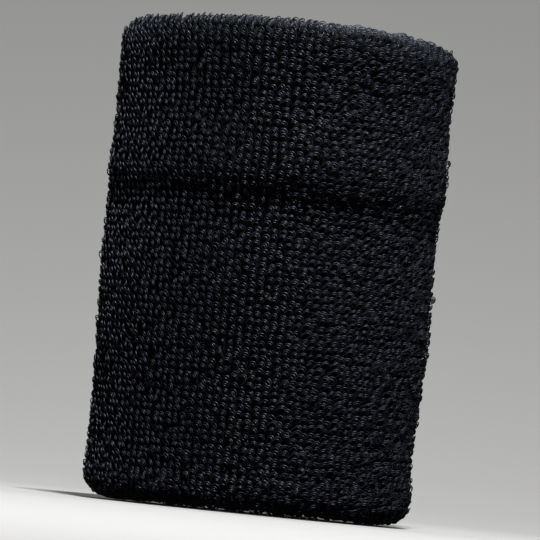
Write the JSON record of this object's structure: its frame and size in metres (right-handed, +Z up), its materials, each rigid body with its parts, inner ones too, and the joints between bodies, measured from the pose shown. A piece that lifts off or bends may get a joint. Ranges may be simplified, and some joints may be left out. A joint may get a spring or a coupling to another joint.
{
  "type": "sweat wristband",
  "caption": "Black towelling sweat wristband: an oval terry tube with two rolled edges, a closing seam on the skin side and elastic inside.",
  "frame": {"origin": "on the surface the band stands on, at the middle of its oval", "axes": "+Z up along the wrist opening, +X along the oval's long side, the front faces -Y"},
  "size_m": [0.055, 0.0496, 0.08],
  "materials": {
    "terry_outer": "matte cotton terry loops, bluish black",
    "terry_skin": "matte cotton terry loops, bluish black, pressed shorter",
    "seam_thread": "spun polyester overlock thread, slight sheen",
    "elastic_yarn": "rubber core covered with textured yarn"
  },
  "bodies": {
    "root": {"outer_terry_wall": "terry_outer", "upper_edge_roll": "terry_outer", "lower_edge_roll": "terry_outer", "inner_terry_wall_upper": "terry_skin", "inner_terry_wall_lower": "terry_skin", "seam_allowance_upper": "terry_skin", "seam_allowance_lower": "terry_skin", "overlock_needle_thread": "seam_thread", "overlock_upper_looper_thread": "seam_thread", "overlock_lower_looper_thread": "seam_thread", "elastic_yarn_feed_1": "elastic_yarn", "elastic_yarn_feed_2": "elastic_yarn"}
  },
  "joints": []
}
